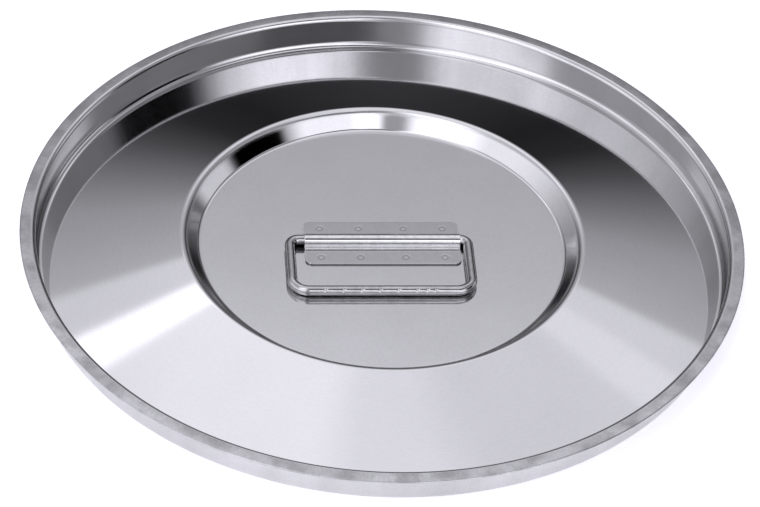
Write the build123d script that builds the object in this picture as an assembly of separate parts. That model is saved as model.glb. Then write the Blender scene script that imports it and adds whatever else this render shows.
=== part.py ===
from build123d import *
import os
from math import cos, radians, sin, tan

# Drop-in cover for the round manway neck of a tank, in millimetres.
# +Z is up and the origin is the middle of the lowest ring, which the cover stands on.
# X runs along the handle, and the bail lies folded down towards -Y.

# Neck that the cover closes
neck_radius = 200.0
neck_clearance = 0.5

# Cover, pressed from one round of sheet; each bend radius is on the inside of its bend
cover_height = 22.0
cover_sheet = 1.2
flange_width = 8.0
flange_edge_chamfer = 0.3
flange_bend = 1.4
floor_bend = 3.2
cone_angle = 12.5
crest_radius = 113.7
crest_bend = 3.4
bevel_angle = 50.0
disc_recess = 9.8
disc_bend = 2.3

# Bracket, folded from sheet over the bail's rod and spot-welded to the disc
bracket_length = 89.6
bracket_sheet = 1.2
bracket_foot_bend = 0.8
wing_width = 13.0
wing_corner_radius = 3.8
handle_offset = 1.6

# Ring-shaped marks that the spot welds leave in the bracket's wings
weld_end_margin = 9.3
weld_inner_spacing = 26.0
weld_edge_margin = 5.7
weld_ring_radius = 1.7
weld_ring_width = 0.7
weld_ring_depth = 0.12

# Bail, bent from round rod, with its two ends meeting inside the bracket
rod_radius = 3.0
swing_clearance = 0.3
bail_reach = 44.1
bail_hinge_bend = 5.0
bail_grip_bend = 9.5
bail_side_play = 3.4
bail_side_shift = -2.1
bail_end_gap = 1.0

# Sizes that follow from the values above
plug_radius = neck_radius - neck_clearance
flange_radius = plug_radius + flange_width
channel_radius = rod_radius + swing_clearance
foot_radius = bracket_foot_bend + bracket_sheet
wing_start = channel_radius + foot_radius
wing_end = wing_start + wing_width
leg_offset = bracket_length / 2 + bail_side_play + rod_radius


def bend_corner(centre, radius, normal_a, normal_b):
    """Corner where the two runs beside a bend would meet, from the angles they face."""
    half_turn = radians(normal_a - normal_b) / 2
    middle = radians(normal_a + normal_b) / 2
    return centre + Vector(cos(middle), sin(middle)) * (radius / cos(half_turn))


def cover_corners():
    """Corners of the cover's upper face, from its axis out to the flange's edge."""
    floor_radius = floor_bend + cover_sheet
    centre = Vector(plug_radius - floor_radius, floor_radius)
    floor = bend_corner(centre, floor_bend, 0, -90 - cone_angle)
    crest_level = floor.Y + (floor.X - crest_radius) * tan(radians(cone_angle))
    disc_radius = crest_radius - disc_recess / tan(radians(bevel_angle))
    return [
        Vector(0, crest_level - disc_recess),
        Vector(disc_radius, crest_level - disc_recess),
        Vector(crest_radius, crest_level),
        floor,
        Vector(floor.X, cover_height),
        Vector(flange_radius, cover_height),
    ]


def disc_level():
    """Height of the disc's upper face, which the handle stands on."""
    return cover_corners()[0].Y


def sheet_section(face_line, sheet, side):
    """Closed section of a sheet of even thickness, laid on one side of a face's line."""
    return make_face(offset(face_line, sheet, side=side, closed=True).edges())


def cover_pan():
    """Flange, plug wall, cone, crest and sunk disc, turned as one sheet."""
    bends = [disc_bend, crest_bend + cover_sheet, floor_bend, flange_bend + cover_sheet]
    upper_face = FilletPolyline(*cover_corners(), radius=bends)
    section = sheet_section(upper_face, cover_sheet, Side.RIGHT)
    section = chamfer(section.vertices().group_by(Axis.X)[-1], flange_edge_chamfer)
    return revolve(Plane.XZ * section, Axis.Z)


def weld_marks():
    """Rings pressed into the wings' upper faces, in one row along each wing."""
    outer = bracket_length / 2 - weld_end_margin
    inner = weld_inner_spacing / 2
    row = wing_end - weld_edge_margin
    half_width = weld_ring_width / 2
    groove = Polyline(
        (weld_ring_radius - half_width, bracket_sheet),
        (weld_ring_radius, bracket_sheet - weld_ring_depth),
        (weld_ring_radius + half_width, bracket_sheet),
        close=True,
    )
    ring = revolve(Plane.XZ * make_face(groove), Axis.Z)
    return [Pos(x, y) * ring for x in (-outer, -inner, inner, outer) for y in (-row, row)]


def handle_bracket():
    """Two flat wings and, between them, a channel folded up over the bail's rod."""
    half = Curve() + [
        Line((wing_end, 0), (wing_start, 0)),
        CenterArc((wing_start, foot_radius), foot_radius, 270, -90),
        Line((channel_radius, foot_radius), (channel_radius, channel_radius)),
        CenterArc((0, channel_radius), channel_radius, 0, 90),
    ]
    underside = (half + mirror(half, Plane.YZ)).wire()
    section = sheet_section(underside, bracket_sheet, Side.RIGHT)
    bracket = extrude(Plane.YZ * section, bracket_length / 2, both=True)
    upright = bracket.edges().filter_by(Axis.Z).group_by(Axis.Y)
    bracket = fillet(upright[0] + upright[-1], wing_corner_radius)
    return bracket - weld_marks()


def handle_bail():
    """Rod bent into a rectangle, open by a narrow gap in the middle of its hinge side."""
    start = bail_end_gap / 2
    bends = [bail_hinge_bend, bail_grip_bend, bail_grip_bend, bail_hinge_bend]
    path = FilletPolyline(
        (start, 0),
        (leg_offset, 0),
        (leg_offset, -bail_reach),
        (-leg_offset, -bail_reach),
        (-leg_offset, 0),
        (-start, 0),
        radius=bends,
    )
    return sweep(Plane(origin=path @ 0, z_dir=path % 0) * Circle(rod_radius), path)


def build():
    """Make every sub-part in its place and write it to its own file."""
    disc = Pos(0, handle_offset, disc_level())
    parts = {
        "cover_pan": cover_pan(),
        "handle_bracket": disc * handle_bracket(),
        "handle_bail": disc * Pos(bail_side_shift, 0, channel_radius) * handle_bail(),
    }
    os.makedirs("parts", exist_ok=True)
    for name, shape in parts.items():
        export_step(shape, f"parts/{name}.step")


build()
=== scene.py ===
"""Looks of a drop-in tank manway cover: its steel finishes, a plain studio and the camera."""
import logging
import math
from dataclasses import dataclass
from enum import Enum
from typing import Any, Optional, Sequence, Union

import bmesh
import bpy
import numpy as np
from mathutils import Matrix, Vector


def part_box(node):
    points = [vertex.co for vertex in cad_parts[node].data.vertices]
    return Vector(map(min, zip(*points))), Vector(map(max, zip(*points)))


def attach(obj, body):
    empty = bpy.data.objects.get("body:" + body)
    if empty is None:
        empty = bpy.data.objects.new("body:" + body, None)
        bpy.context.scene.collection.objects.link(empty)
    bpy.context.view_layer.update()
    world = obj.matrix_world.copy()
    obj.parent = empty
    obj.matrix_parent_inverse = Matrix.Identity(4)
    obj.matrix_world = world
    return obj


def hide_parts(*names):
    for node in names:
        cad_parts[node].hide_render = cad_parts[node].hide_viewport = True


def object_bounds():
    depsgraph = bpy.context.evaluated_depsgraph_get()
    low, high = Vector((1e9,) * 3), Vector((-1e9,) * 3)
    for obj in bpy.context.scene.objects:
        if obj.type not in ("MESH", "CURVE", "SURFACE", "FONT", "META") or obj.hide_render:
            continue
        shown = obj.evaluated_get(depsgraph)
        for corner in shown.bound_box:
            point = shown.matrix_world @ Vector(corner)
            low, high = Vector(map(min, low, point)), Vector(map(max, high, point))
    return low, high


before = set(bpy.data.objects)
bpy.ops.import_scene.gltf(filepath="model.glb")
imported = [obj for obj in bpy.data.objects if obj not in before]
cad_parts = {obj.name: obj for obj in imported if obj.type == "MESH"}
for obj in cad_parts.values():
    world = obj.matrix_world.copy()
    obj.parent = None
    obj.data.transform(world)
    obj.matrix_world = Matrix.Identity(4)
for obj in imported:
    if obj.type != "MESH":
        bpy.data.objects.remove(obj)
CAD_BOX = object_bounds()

log = logging.getLogger("manway_cover")

Colour = tuple[float, float, float, float]
Number = Union["Signal", float]

MILLIMETRE = 0.001
WELD_DISTANCE = 1e-7
BEND_GUARD = 0.12 * MILLIMETRE
EDGE_POINTS = 7
BLACK: Colour = (0.0, 0.0, 0.0, 1.0)


# Shader sheets: node trees written as Python expressions


class Signal:
    """A socket of a node tree, whose arithmetic adds Math nodes to the tree."""

    def __init__(self, sheet: "Sheet", socket: bpy.types.NodeSocket) -> None:
        """Wrap one output socket.

        Args:
            sheet: the node tree that the socket belongs to.
            socket: the output socket whose value this signal stands for.
        """
        self.sheet = sheet
        self.socket = socket

    def maths(self, operation: str, *values: Number) -> "Signal":
        """Add one Math node.

        Args:
            operation: the node's operation, in Blender's spelling.
            values: the node's inputs in order.

        Returns:
            The node's result.
        """
        inputs = dict(enumerate(values))
        return self.sheet.add("ShaderNodeMath", {"operation": operation}, inputs)

    def __add__(self, other: Number) -> "Signal":
        """Sum of this signal and another."""
        return self.maths("ADD", self, other)

    def __radd__(self, other: Number) -> "Signal":
        """Sum, with the number on the left."""
        return self.maths("ADD", other, self)

    def __sub__(self, other: Number) -> "Signal":
        """Difference of this signal and another."""
        return self.maths("SUBTRACT", self, other)

    def __rsub__(self, other: Number) -> "Signal":
        """Difference, with the number on the left."""
        return self.maths("SUBTRACT", other, self)

    def __mul__(self, other: Number) -> "Signal":
        """Product of this signal and another."""
        return self.maths("MULTIPLY", self, other)

    def __rmul__(self, other: Number) -> "Signal":
        """Product, with the number on the left."""
        return self.maths("MULTIPLY", other, self)

    def __truediv__(self, other: Number) -> "Signal":
        """Quotient of this signal and another."""
        return self.maths("DIVIDE", self, other)

    def power(self, exponent: float) -> "Signal":
        """This signal raised to a fixed power."""
        return self.maths("POWER", self, exponent)

    def size(self) -> "Signal":
        """This signal without its sign."""
        return self.maths("ABSOLUTE", self)

    def step(self, low: float, high: float) -> "Signal":
        """Smooth step of this signal.

        Args:
            low: value at and below which the step is 0.
            high: value at and above which the step is 1.

        Returns:
            The step, which eases in and out between the two values.
        """
        return self.sheet.add(
            "ShaderNodeMapRange",
            {"interpolation_type": "SMOOTHSTEP"},
            {"Value": self, "From Min": low, "From Max": high},
        )

    def band(self, low: float, high: float, soft: float) -> "Signal":
        """Soft-edged band of this signal.

        Args:
            low: lower end of the band.
            high: upper end of the band.
            soft: width over which each edge fades, centred on the edge.

        Returns:
            1 inside the band and 0 outside it.
        """
        half = soft / 2
        return self.step(low - half, low + half) * (1.0 - self.step(high - half, high + half))


class Sheet:
    """A node tree in which every node comes from one method."""

    def __init__(self, tree: bpy.types.NodeTree) -> None:
        """Start from an empty tree.

        Args:
            tree: the node tree of a material or of the world.
        """
        self.tree = tree
        self.tree.nodes.clear()

    def add(
        self,
        kind: str,
        settings: Optional[dict[str, Any]] = None,
        inputs: Optional[dict[Any, Any]] = None,
        output: Any = 0,
    ) -> Optional[Signal]:
        """Add one node of any kind.

        Args:
            kind: the node's type.
            settings: the node's own properties, set first; "stops" fills a colour ramp.
            inputs: values or signals for the node's input sockets, by name or number.
            output: the output socket wanted.

        Returns:
            The wanted output, or nothing for a node that has none.
        """
        node = self.tree.nodes.new(kind)
        for name, value in (settings or {}).items():
            if name == "stops":
                self._fill_ramp(node.color_ramp, value)
            else:
                setattr(node, name, value)
        for key, value in (inputs or {}).items():
            if isinstance(value, Signal):
                self.tree.links.new(value.socket, node.inputs[key])
            else:
                node.inputs[key].default_value = value
        return Signal(self, node.outputs[output]) if node.outputs else None

    @staticmethod
    def _fill_ramp(ramp: bpy.types.ColorRamp, stops: list[tuple[float, float]]) -> None:
        """Set a ramp's stops.

        Args:
            ramp: the ramp to fill.
            stops: place and grey level of each stop, from the lowest place up.
        """
        while len(ramp.elements) < len(stops):
            ramp.elements.new(1.0)
        for element, (place, grey) in zip(ramp.elements, stops):
            element.position = place
            element.color = (grey, grey, grey, 1.0)

    def blend(self, factor: Number, first: Any, second: Any) -> Signal:
        """Mix of two colours.

        Args:
            factor: share of the second colour.
            first: colour at factor 0.
            second: colour at factor 1.

        Returns:
            The mixed colour.
        """
        settings = {"data_type": "RGBA", "clamp_factor": True}
        return self.add("ShaderNodeMix", settings, {0: factor, 6: first, 7: second}, 2)

    def noise(self, vector: Signal, scale: float, detail: float = 2.0) -> Signal:
        """Fractal noise.

        Args:
            vector: where the noise is read.
            scale: how many cells there are in one unit of the vector.
            detail: how many finer octaves are added.

        Returns:
            The noise, from 0 to 1 about 0.5.
        """
        inputs = {"Vector": vector, "Scale": scale, "Detail": detail}
        return self.add("ShaderNodeTexNoise", None, inputs, "Fac")

    def split(self, vector: Signal) -> tuple[Signal, Signal, Signal]:
        """The three components of a vector."""
        parts = self.add("ShaderNodeSeparateXYZ", None, {0: vector})
        outputs = parts.socket.node.outputs
        return tuple(Signal(self, outputs[axis]) for axis in range(3))

    def join(self, x: Number, y: Number, z: Number) -> Signal:
        """A vector made of three components."""
        return self.add("ShaderNodeCombineXYZ", None, {0: x, 1: y, 2: z})


# Surfaces worked out with numpy


def mesh_piece(name: str, rows: np.ndarray, body: str) -> bpy.types.Object:
    """Make a closed smooth piece from a grid of points whose columns close on themselves.

    The point of row i and column j is joined to its neighbours in i and j. Rows that
    shrink to one point become poles, and outward normals follow from the point order.

    Args:
        name: the piece's name, which its object and mesh share.
        rows: points in metres, as an array of rows by columns by three.
        body: the body that the piece moves with.

    Returns:
        The new object.
    """
    count, columns = rows.shape[:2]
    corner = np.arange(count * columns).reshape(count, columns)
    after = np.roll(corner, -1, axis=1)
    faces = np.stack([corner[:-1], after[:-1], after[1:], corner[1:]], axis=-1).reshape(-1, 4)
    mesh = bpy.data.meshes.new(name)
    mesh.from_pydata(rows.reshape(-1, 3), [], faces)
    shell = bmesh.new()
    shell.from_mesh(mesh)
    bmesh.ops.remove_doubles(shell, verts=shell.verts, dist=WELD_DISTANCE)
    bmesh.ops.recalc_face_normals(shell, faces=shell.faces)
    shell.to_mesh(mesh)
    shell.free()
    mesh.shade_smooth()
    piece = bpy.data.objects.new(name, mesh)
    bpy.context.scene.collection.objects.link(piece)
    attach(piece, body)
    log.info("%s: %d faces", name, len(mesh.polygons))
    return piece


def rounded_line(
    corners: np.ndarray, radii: Sequence[float], run: float, turn: float
) -> tuple[np.ndarray, np.ndarray]:
    """Plane line through corners that are rounded by tangent arcs.

    Each arc's centre lies on the bisector of its corner, and the straight runs between
    arcs are divided evenly, with one more point close to each end so that the shading of
    a long flat run doesn't bleed into the bend.

    Args:
        corners: corners of the line, as an array of n by two.
        radii: radius of the arc at each inner corner.
        run: longest step along a straight run.
        turn: largest angle of an arc between two points, in degrees.

    Returns:
        The points, and the unit normals to the left of the line's direction.
    """
    points: list[np.ndarray] = []
    normals: list[np.ndarray] = []
    start = corners[0]
    for index in range(1, len(corners)):
        way = corners[index] - corners[index - 1]
        way = way / np.linalg.norm(way)
        left = np.array([-way[1], way[0]])
        stop = corners[index]
        last = index == len(corners) - 1
        if not last:
            onward = corners[index + 1] - corners[index]
            onward = onward / np.linalg.norm(onward)
            bend = math.atan2(way[0] * onward[1] - way[1] * onward[0], way @ onward)
            radius = radii[index - 1]
            stop = corners[index] - way * radius * math.tan(abs(bend) / 2)
        length = (stop - start) @ way
        if length > WELD_DISTANCE:
            guard = min(BEND_GUARD, length / 4)
            inner = np.linspace(guard, length - guard, max(2, math.ceil(length / run)))
            along = np.concatenate([[0.0], inner, [length]])
            points.append(start + along[:, None] * way)
            normals.append(np.repeat(left[None], len(along), axis=0))
        if last:
            break
        side = math.copysign(1.0, bend)
        centre = stop + left * side * radius
        steps = max(2, math.ceil(abs(math.degrees(bend)) / turn))
        angle = np.linspace(0.0, bend, steps + 1)[1:-1]
        spoke = -left * side
        cosine, sine = np.cos(angle)[:, None], np.sin(angle)[:, None]
        turned = spoke * cosine + np.array([-spoke[1], spoke[0]]) * sine
        points.append(centre + turned * radius)
        normals.append(-turned * side)
        start = centre + radius * (
            spoke * math.cos(bend) + np.array([-spoke[1], spoke[0]]) * math.sin(bend)
        )
    return np.concatenate(points), np.concatenate(normals)


def rounded_end(point: np.ndarray, way: np.ndarray, left: np.ndarray, half: float) -> np.ndarray:
    """Half circle that closes a sheet's edge, from its left face round to its right face.

    Args:
        point: middle of the sheet's edge, at the centre of the half circle.
        way: unit direction in which the sheet ends.
        left: unit normal of the left face.
        half: half the sheet's thickness.

    Returns:
        Points of the half circle without its two ends.
    """
    angle = np.linspace(0.0, math.pi, EDGE_POINTS)[1:-1, None]
    return point + half * (left * np.cos(angle) + way * np.sin(angle))


# Finishes


# How far the scratches' coordinates are squeezed along each lay: the share of the way
# along the handle, and the shares of the radius and of the direction about the axis.
HANDLE_SHARE = 0.04
ROUND_SHARES = (1.0, 0.01)
ACROSS_SHARES = (0.12, 0.2)

# Fine speckle of every finish: cells in a metre, and the levels between which noise
# turns into patches, grain and dark scratches.
GRAIN_SCALE = 900.0
PATCH_LEVELS = (0.35, 0.68)
GRAIN_LEVELS = (0.3, 0.7)
SCRATCH_LEVELS = (0.35, 0.65)
SCRATCH_WANDER = 1.2


class Lay(Enum):
    """The way in which a finish's scratches run."""

    ROUND = "in circles about the cover's axis"
    ACROSS = "outwards from the cover's axis"
    ALONG_HANDLE = "along the handle"
    EVEN = "the same in all directions"


@dataclass(frozen=True)
class SteelFinish:
    """One finish of stainless steel.

    The scratches are noise whose cells are long along the lay and short across it.
    Patches are slower noise that makes some places duller and darker than others, and
    the grain is a fine even speckle over both.

    Attributes:
        tint: colour of the clean metal.
        roughness: middle of the roughness.
        roughness_spread: how far scratches and patches move the roughness.
        lay: the way in which the scratches run.
        scratch_scale: how many scratches there are in a metre across the lay.
        scratch_depth: height of the scratches in metres.
        patch_scale: how many patches there are in a metre.
        patch_shade: share of the colour that a patch takes away.
        grain_shade: share of the colour that the grain and the scratches take away.
    """

    tint: Colour
    roughness: float
    roughness_spread: float
    lay: Lay
    scratch_scale: float
    scratch_depth: float
    patch_scale: float
    patch_shade: float
    grain_shade: float = 0.03

    def scratch_vector(self, sheet: Sheet, place: Signal) -> Signal:
        """Coordinates that are squeezed along the lay.

        About the cover's axis they are the radius and the direction's cosine and sine,
        and the smaller a part's share, the longer the scratches run that way.

        Args:
            sheet: the material's tree.
            place: object coordinates in metres.

        Returns:
            The vector at which the scratches' noise is read.
        """
        x, y, z = sheet.split(place)
        if self.lay is Lay.EVEN:
            return place
        if self.lay is Lay.ALONG_HANDLE:
            return sheet.join(x * HANDLE_SHARE, y, z)
        radius = (x * x + y * y).power(0.5)
        cosine = x / (radius + MILLIMETRE)
        sine = y / (radius + MILLIMETRE)
        outward, round_about = ROUND_SHARES if self.lay is Lay.ROUND else ACROSS_SHARES
        return sheet.join(radius * outward, cosine * round_about, sine * round_about)

    def parts(self, sheet: Sheet, place: Signal) -> tuple[Signal, Signal, Signal]:
        """Colour, roughness and height of the finish at each place.

        Args:
            sheet: the material's tree.
            place: object coordinates in metres.

        Returns:
            The base colour, the roughness and the height of the scratches in metres.
        """
        scratch = sheet.noise(self.scratch_vector(sheet, place), self.scratch_scale, 3.0)
        patch = sheet.noise(place, self.patch_scale, 4.0)
        grain = sheet.noise(place, GRAIN_SCALE)
        dark = tuple(c * (1.0 - self.patch_shade) for c in self.tint[:3]) + (1.0,)
        colour = sheet.blend(patch.step(*PATCH_LEVELS), self.tint, dark)
        speckle = grain.step(*GRAIN_LEVELS) + scratch.step(*SCRATCH_LEVELS)
        colour = sheet.blend(speckle * (self.grain_shade / 2), colour, BLACK)
        wander = (scratch - 0.5) * SCRATCH_WANDER + (patch - 0.5)
        roughness = self.roughness + wander * self.roughness_spread
        return colour, roughness, scratch * self.scratch_depth


class SteelMaterial:
    """A steel material whose finishes change from zone to zone."""

    def __init__(self, name: str) -> None:
        """Make an empty material.

        Args:
            name: the material's name.
        """
        self.material = bpy.data.materials.new(name)
        self.material.use_nodes = True
        self.sheet = Sheet(self.material.node_tree)
        self.place = self.sheet.add("ShaderNodeTexCoord", output="Object")
        self.x, self.y, self.z = self.sheet.split(self.place)
        self.radius = (self.x * self.x + self.y * self.y).power(0.5)
        self.colour: Optional[Signal] = None
        self.roughness: Optional[Signal] = None
        self.height: Optional[Signal] = None

    def cover(self, finish: SteelFinish, where: Optional[Signal] = None) -> None:
        """Lay a finish over what is there.

        Args:
            finish: the finish to lay.
            where: mask of its zone; without one it covers all.
        """
        colour, roughness, height = finish.parts(self.sheet, self.place)
        if where is None:
            self.colour, self.roughness, self.height = colour, roughness, height
            return
        self.colour = self.sheet.blend(where, self.colour, colour)
        self.roughness = self.roughness + (roughness - self.roughness) * where
        self.height = self.height + (height - self.height) * where

    def shade(self, where: Signal, amount: float, rougher: float = 0.0) -> None:
        """Darken a zone and make it duller.

        Args:
            where: mask of the zone.
            amount: share of the colour that is taken away.
            rougher: what is added to the roughness.
        """
        self.colour = self.sheet.blend(where * amount, self.colour, BLACK)
        self.roughness = self.roughness + where * rougher

    def finish(self) -> bpy.types.Material:
        """Join the shader and return the material."""
        sheet = self.sheet
        bump = {"Height": self.height, "Distance": 1.0, "Strength": 1.0}
        normal = sheet.add("ShaderNodeBump", None, bump)
        inputs = {
            "Base Color": self.colour,
            "Metallic": 1.0,
            "Roughness": self.roughness,
            "Normal": normal,
        }
        shader = sheet.add("ShaderNodeBsdfPrincipled", None, inputs)
        sheet.add("ShaderNodeOutputMaterial", None, {"Surface": shader})
        return self.material


def paint(piece: bpy.types.Object, material: bpy.types.Material) -> None:
    """Give a piece its one material."""
    piece.data.materials.clear()
    piece.data.materials.append(material)


# Sub-assemblies

# Near-white tint of the bracket's end edges: partly the polish where the burrs are taken off,
# partly a painted highlight.
DEBURRED_AND_HIGHLIGHT_STEEL: Colour = (0.95, 0.95, 0.95, 1.0)
STEEL: Colour = (0.625, 0.625, 0.628, 1.0)
WORN_STEEL: Colour = (0.56, 0.56, 0.565, 1.0)
BRIGHT_STEEL: Colour = (0.75, 0.75, 0.755, 1.0)
DULL_STEEL: Colour = (0.52, 0.52, 0.525, 1.0)


@dataclass
class CoverPan:
    """The pressed pan: flange, plug wall, cone, crest and sunk disc, as one sheet."""

    sheet: float = 1.2 * MILLIMETRE
    flange_width: float = 8.0 * MILLIMETRE
    flange_bend: float = 1.4 * MILLIMETRE
    floor_bend: float = 3.2 * MILLIMETRE
    cone_angle: float = 12.5
    crest_radius: float = 113.7 * MILLIMETRE
    crest_bend: float = 3.4 * MILLIMETRE
    bevel_angle: float = 50.0
    disc_recess: float = 9.8 * MILLIMETRE
    disc_bend: float = 2.3 * MILLIMETRE
    flange_droop: float = 0.45 * MILLIMETRE
    columns: int = 320
    longest_run: float = 14.0 * MILLIMETRE
    turn_step: float = 7.0
    satin: SteelFinish = SteelFinish(
        tint=STEEL,
        roughness=0.12,
        roughness_spread=0.03,
        lay=Lay.EVEN,
        scratch_scale=2500.0,
        scratch_depth=6e-7,
        patch_scale=30.0,
        patch_shade=0.03,
        grain_shade=0.07,
    )
    bright: SteelFinish = SteelFinish(
        tint=STEEL,
        roughness=0.06,
        roughness_spread=0.02,
        lay=Lay.ROUND,
        scratch_scale=2500.0,
        scratch_depth=3e-7,
        patch_scale=14.0,
        patch_shade=0.03,
        grain_shade=0.05,
    )
    worked: SteelFinish = SteelFinish(
        tint=STEEL,
        roughness=0.21,
        roughness_spread=0.05,
        lay=Lay.ROUND,
        scratch_scale=2500.0,
        scratch_depth=6e-7,
        patch_scale=30.0,
        patch_shade=0.05,
    )
    brushed: SteelFinish = SteelFinish(
        tint=STEEL,
        roughness=0.15,
        roughness_spread=0.1,
        lay=Lay.ROUND,
        scratch_scale=1500.0,
        scratch_depth=6e-6,
        patch_scale=20.0,
        patch_shade=0.1,
        grain_shade=0.1,
    )
    dressed: SteelFinish = SteelFinish(
        tint=WORN_STEEL,
        roughness=0.32,
        roughness_spread=0.2,
        lay=Lay.ACROSS,
        scratch_scale=2200.0,
        scratch_depth=1.5e-5,
        patch_scale=70.0,
        patch_shade=0.3,
        grain_shade=0.16,
    )

    def __post_init__(self) -> None:
        """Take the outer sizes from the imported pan's box."""
        low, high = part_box("cover_pan")
        self.flange_radius = min(-low.x, high.x, -low.y, high.y)
        self.bottom = low.z
        self.top = high.z
        self.plug_radius = high.x - self.flange_width

    def corners(self) -> np.ndarray:
        """Corners of the upper face, from the axis out to the flange's edge.

        The cone runs through the floor bend's tangent point at its own slope, the bevel
        rises from the disc to the crest, and the wall stands one sheet inside the plug.

        Returns:
            The corners' radius and height, as an array of six by two.
        """
        slope = math.radians(self.cone_angle)
        outer_bend = self.floor_bend + self.sheet
        centre = np.array([self.plug_radius - outer_bend, self.bottom + outer_bend])
        half = math.radians(90.0 + self.cone_angle) / 2
        reach = self.floor_bend / math.cos(half)
        floor = centre + reach * np.array([math.cos(half), -math.sin(half)])
        crest = floor[1] + (floor[0] - self.crest_radius) * math.tan(slope)
        disc = crest - self.disc_recess
        foot = self.crest_radius - self.disc_recess / math.tan(math.radians(self.bevel_angle))
        return np.array(
            [
                (0.0, disc),
                (foot, disc),
                (self.crest_radius, crest),
                floor,
                (floor[0], self.top),
                (self.flange_radius - self.sheet / 2, self.top),
            ]
        )

    def section(self) -> np.ndarray:
        """Closed section of the sheet, from the axis out and back to the axis.

        The lower face is the upper face moved by the sheet's thickness along its normal.
        The flange is crowned and droops outwards: its height falls with the square of
        the share of its flat width that lies inside.

        Returns:
            The section's radius and height, as an array of n by two.
        """
        bends = [
            self.disc_bend,
            self.crest_bend + self.sheet,
            self.floor_bend,
            self.flange_bend + self.sheet,
        ]
        upper, left = rounded_line(self.corners(), bends, self.longest_run, self.turn_step)
        middle = upper[-1] - left[-1] * self.sheet / 2
        edge = rounded_end(middle, np.array([1.0, 0.0]), left[-1], self.sheet / 2)
        whole = np.concatenate([upper, edge, (upper - left * self.sheet)[::-1]])
        flat = self.plug_radius + self.flange_bend
        share = np.clip((whole[:, 0] - flat) / (self.flange_radius - flat), 0.0, 1.0)
        whole[:, 1] -= self.flange_droop * share**2
        return whole

    def build(self) -> None:
        """Turn the section about the axis and dress the pan.

        A point of the pan is its section's point at radius r and height z, carried round
        the axis: x is r times the cosine of the angle, and y is r times its sine.
        """
        section = self.section()
        angle = np.linspace(0.0, 2 * math.pi, self.columns, endpoint=False)
        radius, height = section[:, :1], section[:, 1:]
        rows = np.stack(
            [radius * np.cos(angle), radius * np.sin(angle), height + 0 * angle], axis=-1
        )
        pan = mesh_piece("pressed_pan", rows, "cover")
        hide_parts("cover_pan")
        paint(pan, self.material())

    def material(self) -> bpy.types.Material:
        """Dress the pan from the axis outwards.

        The disc is satin, the bevel and the cone are bright, the crest is duller from
        the forming tool, the wall is brushed round, and the flange is dressed by hand.

        Returns:
            The pan's material.
        """
        steel = SteelMaterial("cover_steel_sheet")
        foot, wall = (float(self.corners()[corner][0]) for corner in (1, 3))
        crest, top = self.crest_radius, self.top
        mm = MILLIMETRE
        radius = steel.radius
        steel.cover(self.bright)
        steel.cover(self.satin, 1.0 - radius.step(foot - 3 * mm, foot))
        steel.cover(self.worked, radius.band(crest - 2.5 * mm, crest + 1.2 * mm, 1.6 * mm))
        steel.cover(self.brushed, radius.step(wall - 3 * mm, wall - 1.2 * mm))
        rim = radius.step(wall + 2.2 * mm, wall + 3.2 * mm)
        level = steel.z.step(top - 1.6 * mm, top - 0.8 * mm)
        steel.cover(self.dressed, rim * level)
        return steel.finish()


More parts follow.
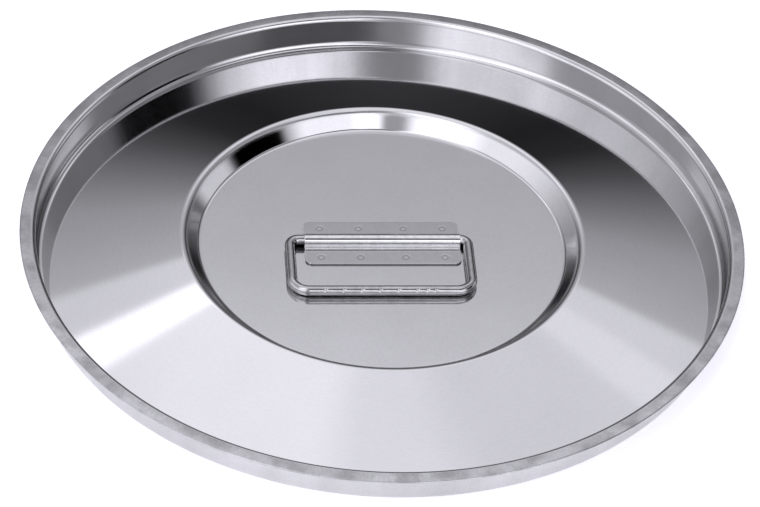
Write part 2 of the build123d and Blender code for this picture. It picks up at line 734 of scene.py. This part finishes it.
@dataclass
class HandleBracket:
    """The folded bracket that holds the bail's rod down on the disc."""

    sheet: float = 1.2 * MILLIMETRE
    foot_bend: float = 0.8 * MILLIMETRE
    wing_corner: float = 3.8 * MILLIMETRE
    edge_round: float = 0.25 * MILLIMETRE
    rim_points: int = 6
    corner_points: int = 16
    weld_end_margin: float = 9.3 * MILLIMETRE
    weld_inner_spacing: float = 26.0 * MILLIMETRE
    weld_edge_margin: float = 5.7 * MILLIMETRE
    weld_ring_radius: float = 1.7 * MILLIMETRE
    weld_ring_width: float = 0.35 * MILLIMETRE
    weld_ring_depth: float = 0.04 * MILLIMETRE
    across_step: float = 0.36 * MILLIMETRE
    along_step: float = 0.4 * MILLIMETRE
    turn_step: float = 5.0
    rolled: SteelFinish = SteelFinish(
        tint=DULL_STEEL,
        roughness=0.1,
        roughness_spread=0.03,
        lay=Lay.EVEN,
        scratch_scale=3000.0,
        scratch_depth=5e-7,
        patch_scale=150.0,
        patch_shade=0.05,
        grain_shade=0.06,
    )
    burnished: SteelFinish = SteelFinish(
        tint=BRIGHT_STEEL,
        roughness=0.09,
        roughness_spread=0.1,
        lay=Lay.ALONG_HANDLE,
        scratch_scale=5000.0,
        scratch_depth=5e-6,
        patch_scale=300.0,
        patch_shade=0.1,
        grain_shade=0.2,
    )
    deburred_and_highlight: SteelFinish = SteelFinish(
        tint=DEBURRED_AND_HIGHLIGHT_STEEL,
        roughness=0.3,
        roughness_spread=0.1,
        lay=Lay.ALONG_HANDLE,
        scratch_scale=5000.0,
        scratch_depth=2e-6,
        patch_scale=300.0,
        patch_shade=0.1,
    )

    def __post_init__(self) -> None:
        """Take the length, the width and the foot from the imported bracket's box.

        Known fault: the channel's radius comes out half a sheet too small, so the hump
        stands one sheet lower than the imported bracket's and the rod runs into the sheet.
        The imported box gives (height - sheet) / 2.
        """
        low, high = (np.array(corner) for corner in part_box("handle_bracket"))
        self.middle = (low + high) / 2
        self.foot = low[2]
        self.half_length, self.wing_end, _ = (high - low) / 2
        self.channel = (high[2] - low[2] - self.sheet) / 2 - self.sheet / 2

    def weld_spots(self) -> list[tuple[float, float]]:
        """Distances of the weld spots from the bracket's two middle planes."""
        row = self.wing_end - self.weld_edge_margin
        return [
            (self.half_length - self.weld_end_margin, row),
            (self.weld_inner_spacing / 2, row),
        ]

    def fold_line(self) -> tuple[np.ndarray, np.ndarray]:
        """Middle line of the folded sheet across the handle, with its upward normals."""
        half = self.sheet / 2
        side = self.channel + half
        tip = self.wing_end - self.edge_round
        corners = [(-tip, half), (-side, half), (-side, self.channel + side)]
        corners = np.array(corners + [(-y, z) for y, z in reversed(corners)])
        foot = self.foot_bend + half
        bends = [foot, side, side, foot]
        return rounded_line(corners, bends, self.across_step, self.turn_step)

    def stations(self) -> np.ndarray:
        """Places along the handle: even in the middle, and on equal angles at the ends."""
        inner = self.half_length - self.wing_corner
        edge = self.half_length - self.edge_round
        angle = np.linspace(0.0, math.pi / 2, self.corner_points)
        corner = inner + self.wing_corner * np.sin(angle[:-3])
        rounded = edge + self.edge_round * np.sin(angle[::3])
        steps = round(inner / self.along_step)
        half = np.concatenate([np.linspace(0.0, inner, steps)[1:-1], corner, rounded])
        half = np.unique(half.round(7))
        return np.concatenate([-half[::-1], [0.0], half])

    def section_at(self, x: float, line: np.ndarray, left: np.ndarray) -> np.ndarray:
        """Closed section of the sheet at one place along the handle.

        The wings draw in on a quarter circle of the corner's radius, and close to the
        ends the sheet thins on a quarter circle of the edge's radius. A weld's ring sinks
        the upper face by a bell curve of the distance from the ring.

        Args:
            x: place along the handle, from its middle.
            line: the fold's middle line.
            left: the line's upward normals.

        Returns:
            Points of the section, as an array of n by two.
        """
        past = max(0.0, abs(x) - self.half_length + self.wing_corner)
        drawn = self.wing_corner - math.sqrt(max(0.0, self.wing_corner**2 - past**2))
        past = max(0.0, abs(x) - self.half_length + self.edge_round)
        thinned = self.edge_round - math.sqrt(max(0.0, self.edge_round**2 - past**2))
        start = self.channel + self.sheet + self.foot_bend
        tip = self.wing_end - self.edge_round
        reach = np.abs(line[:, 0])
        share = np.clip((reach - start) / (tip - start), 0.0, 1.0)
        middle = line.copy()
        middle[:, 0] = np.sign(line[:, 0]) * (reach - share * drawn)
        half = self.sheet / 2 - thinned
        upper, lower = middle + left * half, middle - left * half
        for spot_x, spot_y in self.weld_spots():
            away = np.hypot(abs(x) - spot_x, np.abs(upper[:, 0]) - spot_y)
            ring = (away - self.weld_ring_radius) / self.weld_ring_width
            upper[:, 1] -= self.weld_ring_depth * np.exp(-(ring**2)) * (share > 0)
        quarter = np.linspace(0.0, math.pi / 2, self.rim_points // 2 + 1)[1:]
        bend = min(self.edge_round, half)
        top = np.stack([bend * np.sin(quarter), half - bend * (1 - np.cos(quarter))], axis=-1)
        rim = np.concatenate([top, top[::-1] * (1, -1)])
        right = middle[-1] + rim
        other = middle[0] + rim * (-1, 1)
        return np.concatenate([upper, right, lower[::-1], other[::-1]])

    def build(self) -> None:
        """Fold the bracket and dress it.

        The section is carried along the handle, and each end closes on the sheet's own
        middle line, so the end faces are strips between the two faces.
        """
        line, left = self.fold_line()
        places = self.stations()
        sections = [self.section_at(x, line, left) for x in places]
        for end in (0, -1):
            section = sections[end]
            facing = (2 * len(line) + self.rim_points - 1 - np.arange(len(section))) % len(section)
            closed = (section + section[facing]) / 2
            sections.insert(0 if end == 0 else len(sections), closed)
        places = np.concatenate([places[:1], places, places[-1:]])
        across = np.array(sections)
        rows = np.empty(across.shape[:2] + (3,))
        rows[..., 0] = self.middle[0] + places[:, None]
        rows[..., 1] = self.middle[1] + across[..., 0]
        rows[..., 2] = self.foot + across[..., 1]
        bracket = mesh_piece("folded_bracket", rows, "cover")
        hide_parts("handle_bracket")
        paint(bracket, self.material())

    def material(self) -> bpy.types.Material:
        """Dress the bracket.

        The wings keep the sheet's rolled skin and the channel is burnished. The burrs at its two
        ends are taken off and these edges get a near-white tint as a painted highlight, a dark
        ring stands round each weld, and the lower faces by the foot are darkened and made duller
        with painted shade.

        Returns:
            The bracket's material.
        """
        steel = SteelMaterial("bracket_steel_sheet")
        mm = MILLIMETRE
        steel.cover(self.rolled)
        across = (steel.y - float(self.middle[1])).size()
        along = (steel.x - float(self.middle[0])).size()
        fold = float(self.channel + self.sheet)
        steel.cover(self.burnished, 1.0 - across.step(fold, fold + self.foot_bend))
        end = float(self.half_length)
        # Painted highlight: the end edges get a near-white tint so that they read as bright lines.
        steel.cover(self.deburred_and_highlight, along.step(end - 0.4 * mm, end - 0.2 * mm))
        for spot_x, spot_y in self.weld_spots():
            off_x, off_y = along - float(spot_x), across - float(spot_y)
            away = (off_x * off_x + off_y * off_y).power(0.5)
            ring = (away - self.weld_ring_radius).band(-0.4 * mm, 0.4 * mm, 0.5 * mm)
            steel.shade(ring, amount=0.3, rougher=0.1)
        foot = float(self.foot)
        # Painted shade: the lower faces by the foot, which sit on the disc, are darkened and made
        # duller.
        painted_shade_under = 1.0 - steel.z.step(foot + 0.5 * mm, foot + 1.0 * mm)
        steel.shade(painted_shade_under, amount=0.6, rougher=0.2)
        return steel.finish()


@dataclass
class HandleBail:
    """The bent rod that lifts the cover."""

    hinge_bend: float = 5.0 * MILLIMETRE
    grip_bend: float = 9.5 * MILLIMETRE
    end_gap: float = 1.0 * MILLIMETRE
    end_round: float = 0.4 * MILLIMETRE
    columns: int = 64
    nick_places: tuple[float, ...] = (-32.9, -22.5, -12.1, -1.8, 8.7, 19.2, 25.0, 29.6)
    nick_height: float = 2.5 * MILLIMETRE
    nick_spread: float = 0.9 * MILLIMETRE
    nick_width: float = 0.26 * MILLIMETRE
    nick_depth: float = 0.28 * MILLIMETRE
    nick_turn: float = 20.0
    nick_fade: float = 0.25
    along_step: float = 0.3 * MILLIMETRE
    turn_step: float = 5.0
    drawn: SteelFinish = SteelFinish(
        tint=DULL_STEEL,
        roughness=0.15,
        roughness_spread=0.08,
        lay=Lay.ALONG_HANDLE,
        scratch_scale=3000.0,
        scratch_depth=4e-6,
        patch_scale=200.0,
        patch_shade=0.15,
        grain_shade=0.2,
    )

    def __post_init__(self) -> None:
        """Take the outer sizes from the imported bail's box."""
        low, high = (np.array(corner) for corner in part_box("handle_bail"))
        self.rod = (high[2] - low[2]) / 2
        self.hinge = np.array([(low[0] + high[0]) / 2, high[1] - self.rod, low[2] + self.rod])
        self.leg = (high[0] - low[0]) / 2 - self.rod
        self.reach = high[1] - low[1] - 2 * self.rod

    def build(self) -> None:
        """Bend the rod and dress it.

        A circle is carried square to the rod's plane line: each point lies one rod radius
        from the line, the cosine of its angle to the line's left and the sine above it.
        At the two butt ends the circle shrinks on a small quarter round to a point.
        """
        start = self.end_gap / 2
        corners = [(start, 0.0), (self.leg, 0.0), (self.leg, -self.reach)]
        corners = np.array(corners + [(-x, y) for x, y in reversed(corners)])
        bends = [self.hinge_bend, self.grip_bend, self.grip_bend, self.hinge_bend]
        line, left = rounded_line(corners, bends, self.along_step, self.turn_step)
        radius = np.full(len(line), self.rod)
        radius[[0, -1]] -= self.end_round
        line = np.concatenate([line[:1], line, line[-1:]])
        left = np.concatenate([left[:1], left, left[-1:]])
        radius = np.concatenate([[0.0], radius, [0.0]])[:, None]
        angle = np.linspace(0.0, 2 * math.pi, self.columns, endpoint=False)
        radius = radius - self.nicks(line, left, angle) * (radius > 0)
        rows = np.empty((len(line), self.columns, 3))
        rows[..., :2] = line[:, None] + left[:, None] * (radius * np.cos(angle))[..., None]
        rows[..., 2] = radius * np.sin(angle)
        bail = mesh_piece("bent_bail", rows + self.hinge, "bail")
        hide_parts("handle_bail")
        paint(bail, self.material())

    def nicks(self, line: np.ndarray, left: np.ndarray, angle: np.ndarray) -> np.ndarray:
        """Depth of the V-shaped tool marks on the grip's outer upper side.

        A mark is two grooves that part from its foot. Its depth is a bell curve of the
        distance from the nearer groove, and the groove ends smoothly at its full height.

        Args:
            line: the rod's plane line.
            left: the line's left normals.
            angle: angles round the rod, from the left normal upwards.

        Returns:
            What is taken off the rod's radius, as an array of places by angles.
        """
        straight = np.isclose(left[:, 1:], -1.0)
        grip = straight & (line[:, 1:] < -self.reach / 2)
        rise = (angle - math.radians(self.nick_turn)) * self.rod
        share = np.clip(rise / self.nick_height, 0.0, 1.0)
        fade_in = np.clip(share / self.nick_fade, 0.0, 1.0)
        fade_out = np.clip((1 - share) / self.nick_fade, 0.0, 1.0)
        depth = np.zeros((len(line), len(angle)))
        for place in self.nick_places:
            aside = np.abs(line[:, :1] - place * MILLIMETRE)
            groove = np.exp(-(((aside - share * self.nick_spread) / self.nick_width) ** 2))
            depth = np.maximum(depth, groove * fade_in * fade_out)
        return depth * self.nick_depth * grip

    def material(self) -> bpy.types.Material:
        """Dress the rod: drawn skin, and painted shade on its lower half where it runs in the
        bracket.

        Returns:
            The bail's material.
        """
        steel = SteelMaterial("bail_steel_rod")
        mm = MILLIMETRE
        steel.cover(self.drawn)
        _, hinge_y, hinge_z = (float(c) for c in self.hinge)
        # Painted shade: the lower half of the rod by the hinge, where it runs in the bracket, is
        # painted near black for the shadow and dark reflection under it.
        painted_shade_near = steel.y.step(hinge_y - 6 * mm, hinge_y - 2 * mm)
        low = 1.0 - steel.z.step(hinge_z - 0.2 * mm, hinge_z + 1.2 * mm)
        steel.shade(painted_shade_near * low, amount=0.93, rougher=0.1)
        return steel.finish()


# Studio


@dataclass(frozen=True)
class SoftPanel:
    """A soft-edged light or dark panel of the studio's dome.

    Azimuth is counted from straight behind the cover, clockwise seen from above. Every
    angle is in degrees.

    Attributes:
        azimuth: the panel's middle.
        half_width: from its middle to either side.
        low: elevation of its lower edge.
        high: elevation of its upper edge.
        radiance: how bright it is.
        soft_side: width over which its sides fade.
        soft_top: height over which its lower and upper edges fade.
    """

    azimuth: float
    half_width: float
    low: float
    high: float
    radiance: float
    soft_side: float = 20.0
    soft_top: float = 8.0


@dataclass
class Studio:
    """Plain floor, soft dome of light and camera.

    The camera's angles are in degrees, its lens and sensor are in millimetres, and its
    distance is counted from the middle of the flange.
    """

    azimuth: float = -6.2
    elevation: float = 40.65
    roll: float = 4.04
    distance: float = 2.2888
    aside: float = 1.888 * MILLIMETRE
    above: float = 13.85 * MILLIMETRE
    lens: float = 189.47
    sensor_width: float = 36.0
    sight: float = 200.0
    floor_reach: float = 30.0
    floor_gap: float = 0.1 * MILLIMETRE
    floor_colour: Colour = (0.86, 0.86, 0.87, 1.0)
    floor_roughness: float = 0.9
    floor_glow: float = 0.5
    backdrop: float = 0.95
    dome_scale: float = 2.0
    dome_tint: Colour = (1.01, 1.0, 1.085, 1.0)
    # Elevation in degrees and radiance of the dome where no panel hangs.
    dome_by_elevation: tuple[tuple[float, float], ...] = (
        (0.0, 0.25),
        (10.0, 0.12),
        (13.5, 0.04),
        (17.0, 0.02),
        (20.0, 0.03),
        (23.0, 0.1),
        (29.0, 0.33),
        (32.0, 0.46),
        (36.0, 0.54),
        (41.0, 0.64),
        (41.9, 1.0),
        (46.0, 1.03),
        (50.0, 1.12),
        (67.0, 1.14),
        (90.0, 1.0),
    )
    # Azimuth, half width, low, high, radiance, soft side and soft top of each panel.
    panels: tuple[SoftPanel, ...] = (
        SoftPanel(-132.0, 65.0, -10.0, 42.0, 1.3, 80.0, 8.0),
        SoftPanel(-76.0, 44.0, 41.0, 67.0, 0.72, 12.0, 6.0),
        SoftPanel(180.0, 50.0, 4.0, 64.0, 0.55, 14.0, 8.0),
        SoftPanel(70.0, 14.0, 2.0, 20.0, 0.9, 10.0, 6.0),
        SoftPanel(60.0, 22.0, 20.0, 40.0, 0.34, 20.0, 6.0),
        SoftPanel(76.0, 42.0, 42.0, 66.0, 0.38, 12.0, 6.0),
        SoftPanel(143.0, 28.0, 48.0, 70.0, 0.16, 14.0, 6.0),
        SoftPanel(99.0, 16.0, 8.0, 34.0, 0.0, 7.0, 4.0),
        SoftPanel(145.0, 24.0, 8.0, 45.0, 1.5, 16.0, 6.0),
        SoftPanel(147.0, 15.0, 8.0, 26.0, 2.35, 22.0, 8.0),
        SoftPanel(-147.0, 22.0, 8.0, 56.0, 1.75, 14.0, 6.0),
        SoftPanel(-139.0, 27.0, 56.0, 80.0, 2.3, 18.0, 8.0),
        SoftPanel(180.0, 8.0, 4.0, 64.0, 0.5, 10.0, 6.0),
        SoftPanel(166.0, 8.0, 32.0, 50.0, 2.0, 8.0, 6.0),
        SoftPanel(-20.0, 13.0, 50.0, 70.0, 1.3, 12.0, 3.0),
        SoftPanel(-24.0, 9.0, 46.6, 51.0, 1.8, 5.0, 1.2),
        SoftPanel(27.0, 14.0, 51.0, 66.0, 0.98, 10.0, 6.0),
        SoftPanel(24.0, 9.0, 46.0, 51.0, 1.15, 5.0, 1.5),
        SoftPanel(168.0, 20.0, 66.0, 90.0, 0.15, 14.0, 8.0),
    )

    def build(self) -> None:
        """Make the floor, the dome and the camera."""
        self._view_settings()
        self._floor()
        self._dome()
        self._camera()

    def _view_settings(self) -> None:
        """Show colours as they are, with no film curve."""
        bpy.context.scene.view_settings.view_transform = "Standard"

    def _floor(self) -> None:
        """A plain white floor that is lit evenly from below as well."""
        reach = self.floor_reach
        corners = [(-reach, -reach, 0), (reach, -reach, 0), (reach, reach, 0), (-reach, reach, 0)]
        mesh = bpy.data.meshes.new("floor")
        mesh.from_pydata(corners, [], [(0, 1, 2, 3)])
        floor = bpy.data.objects.new("floor", mesh)
        bpy.context.scene.collection.objects.link(floor)
        floor.location.z = CAD_BOX[0].z - self.floor_gap
        material = bpy.data.materials.new("floor_acrylic")
        material.use_nodes = True
        sheet = Sheet(material.node_tree)
        inputs = {
            "Base Color": self.floor_colour,
            "Roughness": self.floor_roughness,
            "Emission Color": self.dome_tint,
            "Emission Strength": self.floor_glow,
        }
        shader = sheet.add("ShaderNodeBsdfPrincipled", None, inputs)
        sheet.add("ShaderNodeOutputMaterial", None, {"Surface": shader})
        mesh.materials.append(material)
        log.info("floor")

    def _dome(self) -> None:
        """Soft light by direction: a ramp over elevation with panels laid over it."""
        world = bpy.data.worlds.new("studio_dome")
        bpy.context.scene.world = world
        world.use_nodes = True
        sheet = Sheet(world.node_tree)
        direction = sheet.add("ShaderNodeTexCoord", output="Generated")
        turn = {"Vector": direction, "Rotation": (0.0, 0.0, -math.radians(self.azimuth))}
        x, y, z = sheet.split(sheet.add("ShaderNodeMapping", {"vector_type": "POINT"}, turn))
        degrees = 180.0 / math.pi
        elevation = z.maths("ARCSINE", z) * degrees
        azimuth = x.maths("ARCTAN2", x, y) * degrees
        stops = [(up / 90.0, light / self.dome_scale) for up, light in self.dome_by_elevation]
        ramp = sheet.add("ShaderNodeValToRGB", {"stops": stops}, {0: elevation / 90.0})
        light = ramp * self.dome_scale
        for panel in self.panels:
            aside = azimuth.maths("WRAP", azimuth - panel.azimuth, 180.0, -180.0).size()
            half = panel.soft_side / 2
            side = 1.0 - aside.step(panel.half_width - half, panel.half_width + half)
            mask = side * elevation.band(panel.low, panel.high, panel.soft_top)
            light = light + (panel.radiance - light) * mask
        seen = sheet.add("ShaderNodeLightPath", output="Is Camera Ray")
        light = light + (self.backdrop - light) * seen
        colour = {"Color": self.dome_tint, "Strength": light}
        background = sheet.add("ShaderNodeBackground", None, colour)
        sheet.add("ShaderNodeOutputWorld", None, {"Surface": background})
        log.info("dome of %d panels", len(self.panels))

    def _camera(self) -> None:
        """Camera that looks down on the flange's centre, a little off its middle."""
        turn, rise, roll = map(math.radians, (self.azimuth, self.elevation, self.roll))
        back = Vector(
            (math.sin(turn) * math.cos(rise), -math.cos(turn) * math.cos(rise), math.sin(rise))
        )
        level = Vector((math.cos(turn), math.sin(turn), 0.0))
        upright = back.cross(level)
        right = level * math.cos(roll) + upright * math.sin(roll)
        up = upright * math.cos(roll) - level * math.sin(roll)
        target = Vector((0.0, 0.0, CAD_BOX[1].z))
        place = target + back * self.distance - right * self.aside - up * self.above
        data = bpy.data.cameras.new("camera")
        data.lens = self.lens
        data.sensor_width = self.sensor_width
        data.clip_end = self.sight
        camera = bpy.data.objects.new("camera", data)
        bpy.context.scene.collection.objects.link(camera)
        rows = [[right[i], up[i], back[i], place[i]] for i in range(3)] + [[0, 0, 0, 1]]
        camera.matrix_world = Matrix(rows)
        bpy.context.scene.camera = camera
        log.info("camera at %s", tuple(round(c, 3) for c in place))


def main() -> None:
    """Build and dress every sub-assembly in order."""
    logging.basicConfig(level=logging.INFO, format="%(message)s")
    for part in (Studio(), CoverPan(), HandleBracket(), HandleBail()):
        part.build()


if __name__ == "__main__":
    main()
